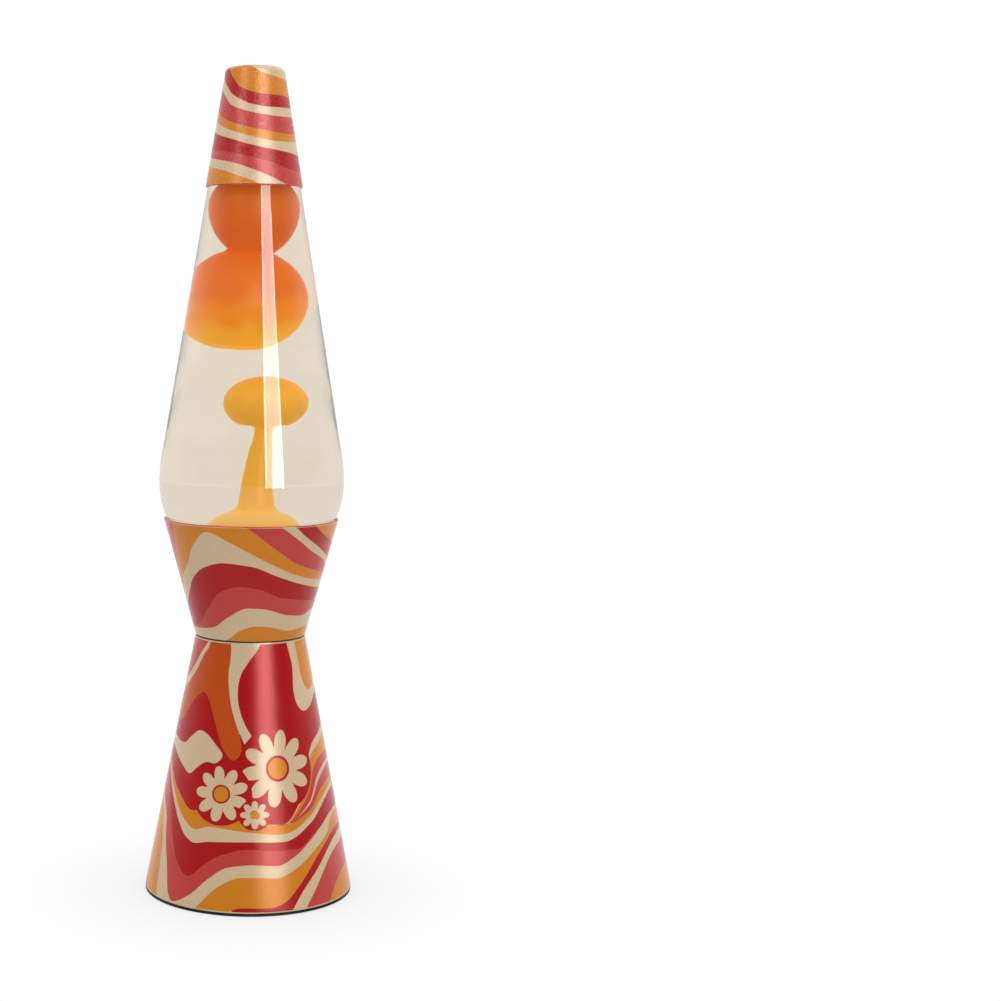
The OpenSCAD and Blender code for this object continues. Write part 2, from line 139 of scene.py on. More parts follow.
def tinted(mat, value, dark, light):
    """A colour from dark to light by a noise's value."""
    ramp = add_node(mat, "ValToRGB", {"Fac": value})
    for element, position, colour in zip(ramp.color_ramp.elements, (NOISE_LOW, NOISE_HIGH), (dark, light)):
        element.position = position
        element.color = colour
    return ramp.outputs["Color"]


def grey(mat, value):
    """A grey of the given brightness."""
    channels = {name: value for name in ("Red", "Green", "Blue")}
    return add_node(mat, "CombineColor", channels).outputs["Color"]


def bumped(mat, shader, height, strength, distance):
    bump = add_node(mat, "Bump", {"Height": height, "Strength": strength, "Distance": distance})
    feed(mat, shader, "Normal", bump.outputs["Normal"])


def grained(name, dark, light, rough, grain, bump, stretch=(1, 1, 1), **constants):
    """A moulded, cast or drawn surface. Its colour varies with a broad noise, and a fine one is its texture.
    grain is how many texture cells a metre holds, and bump is (strength, depth in metres)."""
    mat, shader = new_material(name, **constants)
    broad = noise(mat, grain / 8, stretch)
    fine = noise(mat, grain, stretch, detail=4)
    feed(mat, shader, "Base Color", tinted(mat, broad, srgb(*dark), srgb(*light)))
    feed(mat, shader, "Roughness", spread(mat, fine, *rough))
    bumped(mat, shader, fine, *bump)
    return mat


# The film's inks and its bare paper
INKS = {
    "red": srgb(190, 10, 12),
    "pink": srgb(212, 70, 64),
    "orange": srgb(232, 140, 26),
    "amber": srgb(212, 84, 12),
}
PAPER = srgb(234, 204, 166)
# Half the width in millimetres over which an ink fades at its edge
INK_FADE = 0.05
# Sockets of a Mix node that mixes colours
MIX_SHARE, MIX_FROM, MIX_TO, MIX_RESULT = 0, 6, 7, 2


def printed_film(name, rough, gloss, peel):
    """Satin film over spun metal. An ink shows where its attribute, a distance in mm, is above zero. rough is
    the range of the roughness, and peel is how strongly the fine orange peel stands out."""
    mat, shader = new_material(
        name, Metallic=0.06, Coat_Weight=0.05, Coat_Roughness=0.2, Specular_IOR_Level=gloss
    )
    colour = PAPER
    for ink in sorted(INKS):
        distance = add_node(mat, "Attribute", attribute_name=ink).outputs["Fac"]
        inside = add_node(mat, "MapRange", {"Value": distance, "From Min": -INK_FADE, "From Max": INK_FADE})
        layers = {MIX_SHARE: inside.outputs["Result"], MIX_FROM: colour, MIX_TO: INKS[ink]}
        colour = add_node(mat, "Mix", layers, data_type="RGBA").outputs[MIX_RESULT]
    mottle = grey(mat, spread(mat, noise(mat, 900, detail=2), 0.96, 1.03))
    layers = {MIX_SHARE: 1.0, MIX_FROM: colour, MIX_TO: mottle}
    shade = add_node(mat, "Mix", layers, data_type="RGBA", blend_type="MULTIPLY")
    feed(mat, shader, "Base Color", shade.outputs[MIX_RESULT])
    orange_peel = noise(mat, 1300, detail=3)
    feed(mat, shader, "Roughness", spread(mat, orange_peel, *rough))
    bumped(mat, shader, orange_peel, peel, 0.0002)
    return mat


def clear_glass(name, ior, tint):
    """Glass with faint waves. Light on its way to a diffuse surface passes straight through."""
    mat, shader = new_material(
        name, Base_Color=srgb(*tint), IOR=ior, Transmission_Weight=1.0, Roughness=0.0, Specular_IOR_Level=0.5
    )
    bumped(mat, shader, noise(mat, 40, stretch=(1, 1, 0.3), detail=1), 0.03, 0.002)
    rays = add_node(mat, "LightPath").outputs
    lighting = {0: rays["Is Shadow Ray"], 1: rays["Is Diffuse Ray"]}
    straight = add_node(mat, "Math", lighting, operation="MAXIMUM").outputs["Value"]
    clear = add_node(mat, "BsdfTransparent", {"Color": (0.97, 0.97, 0.97, 1)}).outputs["BSDF"]
    mix = add_node(mat, "MixShader", {0: straight, 1: shader.outputs["BSDF"], 2: clear})
    show(mat, mix.outputs["Shader"])
    return mat


def lamp_liquid():
    """The liquid only tints what is behind it, since the glass's inner face bends the light. Its faint haze
    lies in bands."""
    mat = bpy.data.materials.new("lamp_liquid")
    mat.use_nodes = True
    mat.node_tree.nodes.remove(mat.node_tree.nodes["Principled BSDF"])
    haze = tinted(mat, noise(mat, 30, detail=2), srgb(240, 234, 224), srgb(246, 240, 231))
    show(mat, add_node(mat, "BsdfTransparent", {"Color": haze}).outputs["BSDF"])
    return mat


def wax(name, glow_stops):
    """Translucent wax with a painted glow: it gives off light of its own colour, though it is no lamp. Its
    colour follows its height as painted light from the bulb below, paler and yellower lower down: its stops
    are (height in millimetres, colour).
    """
    mat, shader = new_material(
        name,
        Subsurface_Weight=0.2,
        Subsurface_Radius=(1.0, 0.6, 0.3),
        Subsurface_Scale=0.004,
        Specular_IOR_Level=0.25,
        # A painted glow: the wax emits its own colour, though it is no lamp
        Emission_Strength=0.5,
    )
    # The colour by height is painted light from the bulb below, paler and yellower lower down
    low, high = glow_stops[0][0], glow_stops[-1][0]
    height = add_node(mat, "SeparateXYZ", {"Vector": places(mat)}).outputs["Z"]
    drift = spread(mat, noise(mat, 60, stretch=(1, 1, 0.4), detail=2), -0.003, 0.003)
    moved = add_node(mat, "Math", {0: height, 1: drift}, operation="ADD").outputs["Value"]
    share = add_node(mat, "MapRange", {"Value": moved, "From Min": low * MM, "From Max": high * MM})
    ramp = add_node(mat, "ValToRGB", {"Fac": share.outputs["Result"]})
    ramp.color_ramp.interpolation = "EASE"
    elements = ramp.color_ramp.elements
    for z, colour in glow_stops[1:-1]:
        elements.new((z - low) / (high - low)).color = srgb(*colour)
    elements[0].color = srgb(*glow_stops[0][1])
    elements[-1].color = srgb(*glow_stops[-1][1])
    # The same colours feed the painted glow
    for socket in ("Base Color", "Emission Color"):
        feed(mat, shader, socket, ramp.outputs["Color"])
    feed(mat, shader, "Roughness", spread(mat, noise(mat, 500), 0.35, 0.5))
    bumped(mat, shader, noise(mat, 90, detail=2), 0.08, 0.001)
    return mat


# ---- meshes ----


def mesh_piece(name, points, faces, sharp):
    """A smooth-shaded object from points in millimetres. It has a crisp edge wherever it turns by more than
    sharp degrees."""
    mesh = bpy.data.meshes.new(name)
    mesh.from_pydata((np.asarray(points) * MM).tolist(), [], faces)
    mesh.validate()
    work = bmesh.new()
    work.from_mesh(mesh)
    bmesh.ops.recalc_face_normals(work, faces=work.faces)
    work.to_mesh(mesh)
    work.free()
    mesh.shade_smooth()
    mesh.set_sharp_from_angle(angle=math.radians(sharp))
    piece = bpy.data.objects.new(name, mesh)
    bpy.context.scene.collection.objects.link(piece)
    return piece


def skin(name, rings, closed=False, sharp=35):
    """A surface through rings of points, all of one length but for single points. closed joins its ends."""
    points, indices = [], []
    for ring in rings:
        indices.append(range(len(points), len(points) + len(ring)))
        points += ring
    pairs = list(zip(indices, indices[1:]))
    if closed:
        pairs.append((indices[-1], indices[0]))
    faces = []
    for low, high in pairs:
        count = max(len(low), len(high))
        if count == 1:
            continue
        for i in range(count):
            j = (i + 1) % count
            if len(low) == 1:
                faces.append((low[0], high[j], high[i]))
            elif len(high) == 1:
                faces.append((low[i], low[j], high[0]))
            else:
                faces.append((low[i], low[j], high[j], high[i]))
    return mesh_piece(name, points, faces, sharp)


def turns(segments):
    """Evenly spaced angles right round, in radians."""
    return np.linspace(0, 2 * math.pi, segments, endpoint=False)


def lathe(name, outline, segments, closed=False, middle=None, sharp=35):
    """A turned piece. outline is (radius, height) points; closed joins its ends, as for a tube wall.
    middle gives the axis's x at each height, for a piece that leans."""
    rings = []
    for radius, z in outline:
        x = middle(z) if middle else 0
        around = turns(segments) if radius else [0]
        rings.append([(x + radius * math.sin(a), -radius * math.cos(a), z) for a in around])
    return skin(name, rings, closed, sharp)


def arc(centre, radius, start, end, count):
    """(radius, height) points on an arc, from start to end in degrees, 0 outwards and 90 up."""
    angles = np.radians(np.linspace(start, end, count))
    return [(centre[0] + radius * math.cos(a), centre[1] + radius * math.sin(a)) for a in angles]


def line(a, b, count):
    """Evenly spaced points from a to b."""
    return [(a[0] + (b[0] - a[0]) * s, a[1] + (b[1] - a[1]) * s) for s in np.linspace(0, 1, count)]


def cone_radius(z, low, high):
    """Radius at height z of the cone between (radius, height) low and high."""
    return low[0] + (high[0] - low[0]) * (z - low[1]) / (high[1] - low[1])


# ---- artwork on the film ----

# How far out a daisy's ground, its petals' notches, its eye's ring and its eye reach, as shares of its radius
DAISY_GROUND, DAISY_NOTCH, DAISY_RING, DAISY_EYE = 1.12, 0.42, 0.34, 0.27
# How pointed a petal is: under 1 it is broad and blunt
PETAL_POINT = 0.55
# How much nearer a petal's slanting side is than the gap along the radius
PETAL_SLANT = 0.8


class Artwork:
    """The print on one cone: for each ink, its distance in millimetres at every vertex, above zero inside it.
    Angles are in degrees from the front, rising to the right, and heights are in millimetres."""

    # The distance that stands for far from any edge
    FAR = 9.0

    def __init__(self, piece, cone):
        vertices = np.empty(len(piece.data.vertices) * 3)
        piece.data.vertices.foreach_get("co", vertices)
        x, y, z = vertices.reshape(-1, 3).T / MM
        self.piece = piece
        self.angle = np.degrees(np.arctan2(x, -y))
        self.height = z
        self.per_degree = (cone[0][0] + cone[1][0]) / 2 * math.pi / 180
        self.inks = {ink: np.full(len(z), -self.FAR) for ink in INKS}

    def paint(self, ink, inside):
        """Lays an ink, or bare paper, where inside is above zero, over what is there."""
        for name, field in self.inks.items():
            if name == ink:
                np.maximum(field, inside, out=field)
            else:
                np.minimum(field, -inside, out=field)

    def cover(self, ink):
        """Ink over the whole cone."""
        self.paint(ink, np.full(len(self.height), self.FAR))

    def above(self, ink, height):
        """Ink over all that is higher than height."""
        self.paint(ink, self.height - height)

    def below(self, ink, edge):
        """Ink under a smooth line right round the cone. edge is {angle: height}; a single angle is level."""
        angles = sorted(edge)
        heights = [edge[a] for a in angles]
        step = 0.5
        line_height = smooth_line(angles, heights, self.angle)
        ahead = smooth_line(angles, heights, self.angle + step)
        slope = (ahead - line_height) / (step * self.per_degree)
        self.paint(ink, (line_height - self.height) / np.sqrt(1 + slope**2))

    def blob(self, ink, outline):
        """Ink inside a smooth closed outline of (angle, height) points."""
        corners = rounded(outline) * (self.per_degree, 1)
        middle = sum(angle for angle, _ in outline) / len(outline)
        angle = (self.angle - middle + 180) % 360 - 180 + middle
        place = np.stack([angle * self.per_degree, self.height], 1)
        nearest = np.full(len(place), np.inf)
        inside = np.zeros(len(place), bool)
        for a, b in zip(corners, np.roll(corners, -1, axis=0)):
            run = b - a
            share = np.clip(((place - a) @ run) / max(run @ run, 1e-9), 0, 1)
            nearest = np.minimum(nearest, np.linalg.norm(place - a - share[:, None] * run, axis=1))
            crosses = (a[1] > place[:, 1]) != (b[1] > place[:, 1])
            if a[1] != b[1]:
                meets = a[0] + (place[:, 1] - a[1]) * run[0] / run[1]
                inside ^= crosses & (place[:, 0] < meets)
        self.paint(ink, np.where(inside, nearest, -nearest))

    def daisy(self, angle, height, radius, petals, turn):
        """A plain daisy: cream petals round an orange eye, on a red ground a little wider than they are."""
        across = (self.angle - angle) * self.per_degree
        up = self.height - height
        out = np.hypot(across, up)
        lobe = np.abs(np.cos((np.arctan2(up, across) - math.radians(turn)) * petals / 2))
        petal_edge = radius * (DAISY_NOTCH + (1 - DAISY_NOTCH) * lobe**PETAL_POINT)
        self.paint("red", radius * DAISY_GROUND - out)
        self.paint("paper", (petal_edge - out) * PETAL_SLANT)
        self.paint("red", radius * DAISY_RING - out)
        self.paint("orange", radius * DAISY_EYE - out)

    def finish(self):
        """Stores the distances as the attributes that the film's material reads."""
        for ink, field in self.inks.items():
            attribute = self.piece.data.attributes.new(ink, "FLOAT", "POINT")
            attribute.data.foreach_set("value", field.astype(np.float32))


def smooth_line(angles, heights, at):
    """The heights, at the angles asked for, of a smooth line through the points. It never overshoots them
    and closes after 360 degrees."""
    x = np.array([a + 360 * turn for turn in (-1, 0, 1) for a in angles], float)
    y = np.array(list(heights) * 3, float)
    gap = np.diff(x)
    slope = np.diff(y) / gap
    before, after = slope[:-1], slope[1:]
    both = before + after
    mean = np.where(before * after > 0, 2 * before * after / np.where(both == 0, 1, both), 0)
    tangent = np.concatenate([[0], mean, [0]])
    i = np.clip(np.searchsorted(x, at, side="right") - 1, 0, len(x) - 2)
    s = (at - x[i]) / gap[i]
    start, end = y[i], y[i + 1]
    pull_out, pull_in = tangent[i] * gap[i], tangent[i + 1] * gap[i]
    return (
        start * (2 * s**3 - 3 * s**2 + 1)
        + pull_out * (s**3 - 2 * s**2 + s)
        + end * (3 * s**2 - 2 * s**3)
        + pull_in * (s**3 - s**2)
    )


def rounded(outline):
    """A closed Catmull-Rom curve through the outline's points."""
    steps = 8
    p = np.array(outline, float)
    before, after, beyond = np.roll(p, 1, 0), np.roll(p, -1, 0), np.roll(p, -2, 0)
    pull = after - before
    bend = 2 * before - 5 * p + 4 * after - beyond
    twist = 3 * p - before - 3 * after + beyond
    curve = [0.5 * (2 * p + pull * s + bend * s**2 + twist * s**3) for s in np.arange(steps) / steps]
    return np.stack(curve, 1).reshape(-1, 2)


def film_piece(name, cone, foot, top, segments, rows, rolled=(), hem=()):
    """A closed skin of the film's thickness, its outside on the cone from height foot to height top.
    hem is the outline below the foot, and rolled goes on from the top."""
    ends = [(cone_radius(z, *cone), z) for z in (foot, top)]
    inner = [(radius - FILM, z) for radius, z in line(ends[1], ends[0], 12)]
    return lathe(name, list(hem) + line(*ends, rows) + list(rolled) + inner, segments, closed=True, sharp=50)


# Bands round each cone, from the top band down, each under the line that it gives as {angle: height}
CAP_BANDS = [
    ("orange", {-90: 408, -50: 405, -25: 402, -5: 399, 25: 395.5, 90: 394, 180: 400}),
    ("red", {-90: 406, -60: 399, -45: 394.5, -22: 389, 15: 386.3, 90: 386, 180: 396}),
    ("paper", {-90: 396, -60: 391, -43: 386.8, -25: 383.8, -5: 381.4, 20: 380.2, 90: 381, 180: 389}),
    ("pink", {-90: 391, -60: 386, -39: 381, 5: 377, 40: 376, 90: 377, 180: 384}),
    ("orange", {-90: 380, -60: 376, -35: 373, 6: 369.5, 50: 368, 90: 369, 180: 376}),
    ("paper", {-90: 375, -60: 372, -34: 369, -6: 366.3, 30: 364.2, 90: 365, 180: 370}),
    ("red", {-90: 370, -60: 367.5, -32: 365, -6: 362.3, 30: 360, 90: 358.5, 180: 365}),
    ("pink", {-90: 361, -60: 360.2, -28: 358.3, 0: 356, 22: 354, 55: 351, 90: 351, 180: 357}),
    ("paper", {-90: 357.5, -60: 356, -29: 354, -6: 351.2, 16: 348, 45: 343.5, 90: 340, 180: 350}),
    ("orange", {-90: 353, -60: 351.8, -40: 350.3, -22: 348, 0: 345, 25: 341, 90: 336, 180: 345}),
]


def cap_wrap():
    """The cap's film, over its rounded edge and across its top."""
    edge_z = LAMP_H - CAP_EDGE
    edge_r = cone_radius(edge_z, *CAP_CONE)
    flat_r = edge_r - CAP_EDGE
    outer = line(CAP_CONE[0], (edge_r, edge_z), 110)
    outer += arc((flat_r, edge_z), CAP_EDGE, 10, 90, 9)
    outer += line((flat_r, LAMP_H), (1.0, LAMP_H), 8)[1:] + [(0, LAMP_H)]
    inner = [(0, LAMP_H - FILM), (flat_r, LAMP_H - FILM)]
    inner += arc((flat_r, edge_z), CAP_EDGE - FILM, 80, 10, 7)
    inner += [(edge_r - FILM, edge_z), (CAP_R - FILM, CAP_Z)]
    piece = lathe("cap_film", outer + inner, 320, closed=True, sharp=50)
    art = Artwork(piece, CAP_CONE)
    for ink, edge in CAP_BANDS:
        art.below(ink, edge)
    art.above("pink", LAMP_H - 0.5)
    # A thin red strip round the cap's foot: red print, and partly a painted shade line along the cap's lower
    # edge
    art.below("red", {0: CAP_Z + 0.35})
    art.finish()
    return piece


HOLDER_BANDS = [
    ("red", {-90: 196, -60: 200, 20: 194, 46: 183.5, 57: 179, 72: 175, 90: 171, 130: 172, 180: 186,
             230: 192}),
    ("paper", {-90: 192, -60: 196, 0: 194, 30: 183.3, 38: 179, 51: 174, 74: 167, 90: 164, 130: 166,
               180: 179}),
    ("pink", {-90: 183, -60: 192, 0: 190, 20: 183.3, 36: 176, 48: 171, 76: 164, 90: 161, 130: 162,
              180: 174}),
    ("orange", {-90: 151, -78: 158, -68: 172, -58: 190, -20: 190, -2: 183, 15: 174, 37: 165, 66: 160, 90: 157,
                180: 160}),
    ("paper", {-90: 144, -68: 157, -54: 164.5, -44: 173.5, -30: 180.8, -14: 176, 11: 167, 36: 160, 60: 156.5,
               90: 155, 180: 154}),
    ("red", {-90: 139, -64: 149, -51: 157.5, -36: 163.5, -20: 166, 0: 164.7, 20: 159.8, 44: 155, 70: 152,
             90: 151, 180: 146}),
    ("pink", {-90: 131, -58: 134, -40: 143, -25: 151.5, -8: 154.5, 8: 153, 25: 149, 60: 146, 90: 144,
              180: 140}),
    ("paper", {-90: 131, -58: 132, -38: 133.5, -21: 139, -2: 144, 12: 143.5, 35: 140, 55: 139, 75: 141,
               90: 141, 180: 135}),
    ("orange", {-90: 122, -40: 124, -20: 129, -9: 133, 5: 135, 23: 134, 40: 132, 68: 133, 90: 134, 180: 127}),
]


def holder_wrap():
    """The upper cone's film, rolled over the hemmed rim."""
    foot, top = WAIST_Z + GASKET / 2, RIM_Z - 2 * HEM_R
    rolled = arc((RIM_R - HEM_R, RIM_Z - HEM_R), HEM_R + SKIN_GAP, 0, 200, 15)
    piece = film_piece("holder_film", HOLDER_CONE, foot, top, 440, 110, rolled)
    art = Artwork(piece, HOLDER_CONE)
    art.cover("orange")
    for ink, edge in HOLDER_BANDS:
        art.below(ink, edge)
    art.above("pink", RIM_Z - 0.3)
    art.finish()
    return piece


# Where the upper bands have run out, they share this line
RUN_OUT = {-90: 70, -74: 63.5, -54: 53, -40: 46.7, -25: 48.5, 0: 44, 22: 42}
BASE_BANDS = [
    ("paper", {**RUN_OUT, 40: 56, 48: 70, 56: 77, 66: 80, 90: 84, 135: 78, 180: 62, 225: 60}),
    ("orange", {**RUN_OUT, 42: 56, 53: 72, 61: 75, 80: 79, 90: 80, 135: 73, 180: 59, 225: 58}),
    ("pink", {**RUN_OUT, 44: 54, 54: 66, 62: 69.5, 75: 71, 90: 71.5, 135: 66, 180: 54, 225: 56}),
    ("paper", {**RUN_OUT, 44: 50, 56: 61, 64: 64.5, 75: 66.5, 90: 67, 135: 62, 180: 50, 225: 54}),
    ("pink", {**RUN_OUT, 44: 49, 56: 58.5, 64: 62, 75: 64.5, 90: 65, 135: 60, 180: 48, 225: 53}),
    ("orange", {**RUN_OUT, 22: 41.5, 44: 46.5, 60: 55.5, 74: 58, 90: 58.5, 135: 54, 180: 44, 225: 52}),
    ("paper", {-90: 69, -76: 63, -62: 54, -52: 46, -44: 41, -36: 38.3, -25: 40.5, 0: 39, 22: 37.5, 44: 44,
               56: 50, 72: 54.5, 90: 56, 135: 51, 180: 41, 225: 50}),
    ("red", {-90: 67, -76: 61, -60: 49, -49: 39, -42: 34, -35: 32, -25: 33.5, 0: 34.5, 22: 34, 44: 41, 60: 49,
             72: 52.5, 90: 54, 135: 48, 180: 38, 225: 48}),
    ("pink", {-90: 60, -76: 57, -65: 49, -60: 42, -53: 30, -47: 22, -37: 16, -26: 23, -16: 28, 0: 31, 20: 30,
              32: 30, 44: 35, 56: 39, 66: 42.5, 90: 44, 135: 40, 180: 33, 225: 43}),
    ("paper", {-90: 51, -76: 47, -66: 40, -62: 31, -55: 18, -50: 6, -46: 3, -34: 8, -24: 16, -12: 22.5, 2: 24,
               18: 23.3, 27: 26, 44: 34, 61: 41, 74: 43.5, 90: 44, 135: 38, 180: 29, 225: 38}),
    ("orange", {-90: 48, -76: 44, -70: 36, -65: 27, -62: 8, -59: -8, -38: -6, -30: 2, -16: 14, -4: 18.2,
                6: 18.2, 16: 17.6, 27: 20.3, 44: 28, 58: 34, 66: 40, 74: 42, 90: 42.5, 135: 34, 180: 24,
                225: 33}),
    ("red", {-90: 12, -62: -10, -30: -8, -12: 2, -3: 4.4, 12: 4.2, 20: 6, 30: 13, 44: 24, 54: 29.5, 64: 33.3,
             74: 35, 90: 35, 135: 27, 180: 17, 225: 22}),
    ("paper", {-90: 6, -62: -14, 0: -14, 20: -2, 33: 11, 45: 19.5, 56: 26.5, 66: 30.5, 78: 32.3, 90: 32.5,
               135: 23, 180: 12, 225: 15}),
    ("pink", {-90: 2, -62: -18, 0: -18, 28: -2, 40: 9, 50: 18, 60: 24, 72: 26.7, 90: 28, 135: 19, 180: 8,
              225: 10}),
    ("orange", {-90: -6, 0: -20, 40: -8, 50: 2, 60: 10, 72: 14.3, 90: 15.5, 135: 8, 180: -3, 225: -2}),
]
# Patches on the base's red ground, as (angle, height) outlines. Some run past the waist, where the film ends
BASE_PATCHES = [
    ("amber", [(-43, 140), (-18, 140), (-19, 120), (-20, 112), (-18, 103), (-14, 94), (-8, 84), (-6, 76),
               (-12, 72), (-20, 77), (-28, 84), (-50, 84), (-80, 86), (-110, 88), (-145, 93), (-110, 96),
               (-80, 102), (-63, 110), (-52, 119)]),
    ("red", [(-74, 86), (-64, 91), (-54, 98.5), (-44, 102), (-37, 99), (-31, 92), (-26, 85), (-23, 78),
             (-40, 72), (-80, 74), (-125, 80)]),
    ("paper", [(-80, 78), (-60, 76.5), (-51, 80.5), (-43, 84), (-35, 83), (-27, 79), (-20, 74), (-25, 70),
               (-33, 70), (-40, 67), (-47, 63.2), (-56, 66), (-66, 69.5), (-80, 73.5), (-105, 78), (-135, 84),
               (-105, 80)]),
    ("paper", [(-43, 140), (-45, 125), (-52, 119), (-62, 110), (-78, 102), (-100, 97), (-125, 98),
               (-138, 106), (-142, 120), (-143, 140), (-138, 140), (-137, 121), (-133, 109), (-123, 102),
               (-100, 101), (-80, 106), (-66, 113), (-57, 120), (-48, 127), (-46, 140)]),
    ("pink", [(-46, 140), (-48, 127), (-57, 120), (-66, 113), (-80, 106), (-100, 101), (-123, 102),
              (-133, 109), (-137, 121), (-138, 140)]),
    ("paper", [(-18, 140), (-19, 120), (-20, 112), (-18, 103), (-14, 94), (-7, 84), (2, 74), (14, 74),
               (6, 80), (-3, 88), (-9, 97), (-10.5, 105), (-8, 112), (-1, 118), (10, 126), (13, 140)]),
    ("paper", [(48, 140), (44, 114), (42, 104), (44, 97), (51, 93), (62, 94.5), (76, 99), (96, 102),
               (120, 98), (140, 104), (150, 140)]),
    ("orange", [(53, 140), (54, 114), (56, 107), (62, 102.5), (72, 103), (84, 108), (88, 118), (84, 140)]),
    ("pink", [(92, 140), (96, 116), (112, 108), (130, 112), (138, 140)]),
    ("paper", [(162, 140), (163, 122), (166, 106), (173, 93), (183, 87), (193, 92), (201, 104), (205, 122),
               (206, 140)]),
    ("orange", [(168, 140), (169, 122), (173, 107), (179, 97), (186, 94), (192, 99), (197, 109), (200, 124),
                (200, 140)]),
    ("red", [(175, 140), (177, 122), (181, 111), (187, 109), (192, 116), (194, 140)]),
]
# Each daisy's angle, height, radius, number of petals and turn in degrees
DAISIES = [(21, 68, 18, 10, 8), (-19, 56, 13, 9, 20), (4, 47, 6.5, 8, 0)]


def base_wrap():
    """The lower cone's film, from the shell's edge at the foot to the gasket at the waist. Its hem keeps a
    hair off the shell and inside the cone."""
    foot, top = SHELL_Z + FILM_HEM, WAIST_Z - GASKET / 2
    hair = 0.01
    shell_r = cone_radius(SHELL_Z, *BASE_CONE) - FILM
    hem = [(shell_r + hair, SHELL_Z), (cone_radius(foot, *BASE_CONE) - 2 * hair, SHELL_Z)]
    piece = film_piece("base_film", BASE_CONE, foot, top, 480, 175, hem=hem)
    cut_inlet(piece)
    art = Artwork(piece, BASE_CONE)
    art.cover("red")
    for ink, outline in BASE_PATCHES:
        art.blob(ink, outline)
    for ink, edge in BASE_BANDS:
        art.below(ink, edge)
    for daisy in DAISIES:
        art.daisy(*daisy)
    art.below("paper", {0: foot})
    art.above("paper", top - FILM_HEM)
    art.finish()
    return piece


def cut_inlet(piece):
    """Opens the film for the cord inlet, whose axis is square to the cone at the back."""
    lean = math.atan2(BASE_R - WAIST_R, WAIST_Z)
    radius = cone_radius(INLET_Z, *BASE_CONE)
    reach = 4
    outline = [(0, -reach), (INLET_HOLE_R, -reach), (INLET_HOLE_R, reach), (0, reach)]
    cutter = lathe("inlet_cutter", outline, 64)
    cutter.rotation_euler = (-math.pi / 2 + lean, 0, 0)
    cutter.location = (0, radius * MM, INLET_Z * MM)
    modifier = piece.modifiers.new("inlet", "BOOLEAN")
    modifier.object = cutter
    modifier.solver = "EXACT"
    bpy.context.view_layer.update()
    whole = piece.data
    graph = bpy.context.evaluated_depsgraph_get()
    piece.data = bpy.data.meshes.new_from_object(piece.evaluated_get(graph))
    piece.modifiers.clear()
    bpy.data.objects.remove(cutter)
    bpy.data.meshes.remove(whole)


# ---- bottle ----


def wall_radius(z, inset=0.0):
    """Radius at height z of the bottle's outer wall from its foot to its shoulder, less inset."""
    tilt, slant = math.atan(TAPER), math.radians(LOWER_ANGLE)
    top = BELLY_Z + UPPER_ARC * math.sin(tilt)
    bottom = BELLY_Z - LOWER_ARC * math.sin(slant)
    if z > top:
        radius = BELLY_R - UPPER_ARC * (1 - math.cos(tilt)) - (z - top) * TAPER
    elif z > bottom:
        bend = UPPER_ARC if z > BELLY_Z else LOWER_ARC
        radius = BELLY_R - bend + math.sqrt(bend**2 - (z - BELLY_Z) ** 2)
    else:
        radius = BELLY_R - LOWER_ARC * (1 - math.cos(slant)) - (bottom - z) * math.tan(slant)
    return radius - inset


def wall(low, inset):
    """(radius, height) points up the bottle's wall, taken in by inset."""
    return [(wall_radius(z, inset), z) for z in np.linspace(low, SHOULDER_Z, 90)]


def shoulder(start, end):
    """The roll from the taper to the neck, from radius start to radius end."""
    rise = NECK_Z - SHOULDER_Z
    return [
        (end + (start - end) * (1 + math.cos(math.pi * s)) / 2, SHOULDER_Z + rise * s)
        for s in np.linspace(0.08, 1, 14)
    ]


# The bottle's floor rounds into its inner wall over this distance, inwards and upwards
FLOOR_ROUND = 2
GLASS_IOR, LIQUID_IOR = 1.5, 1.34


def glass_bottle():
    """The bottle's two faces. The outer meets air; the inner, below the liquid's level, meets the liquid."""
    heel_z = BOTTLE_Z + HEEL
    foot_r = wall_radius(heel_z)
    start = wall_radius(SHOULDER_Z)
    outer = [(0, BOTTLE_Z + 2), (foot_r - 9, BOTTLE_Z + 1.6), (foot_r - HEEL - 2, BOTTLE_Z)]
    outer += arc((foot_r - HEEL, heel_z), HEEL, -90, -15, 8)
    outer += wall(heel_z, 0) + shoulder(start, NECK_R)
    outer += [(NECK_R, LIP_Z - 1.4), (NECK_R + 0.3, LIP_Z - 0.8), (LIP_R, LIP_Z)]
    outer += [(LIP_R, MOUTH_Z - 0.8), (LIP_R - 0.25, MOUTH_Z - 0.25), (LIP_R - 0.8, MOUTH_Z)]
    floor_r = wall_radius(FLOOR_Z + FLOOR_ROUND, GLASS)
    inner = [(0, FLOOR_Z), (floor_r - FLOOR_ROUND, FLOOR_Z), (floor_r - 0.6, FLOOR_Z + 0.6)]
    inner += wall(FLOOR_Z + FLOOR_ROUND, GLASS) + shoulder(start - GLASS, MOUTH_R)
    inner += [(MOUTH_R, NECK_Z + 2), (MOUTH_R, MOUTH_Z - 0.6), (MOUTH_R + 0.6, MOUTH_Z)]
    piece = lathe("bottle_glass", outer + inner[::-1], 192, sharp=50)
    piece.data.materials.append(clear_glass("clear_glass", GLASS_IOR, (252, 252, 250)))
    piece.data.materials.append(clear_glass("wetted_glass", GLASS_IOR / LIQUID_IOR, (255, 255, 255)))
    for face in piece.data.polygons:
        x, y, z = (part / MM for part in face.center)
        inner_face = math.hypot(x, y) < wall_radius(min(z, SHOULDER_Z)) - GLASS / 2
        face.material_index = 1 if inner_face and FLOOR_Z - 0.01 < z < LIQUID_Z else 0
    return piece


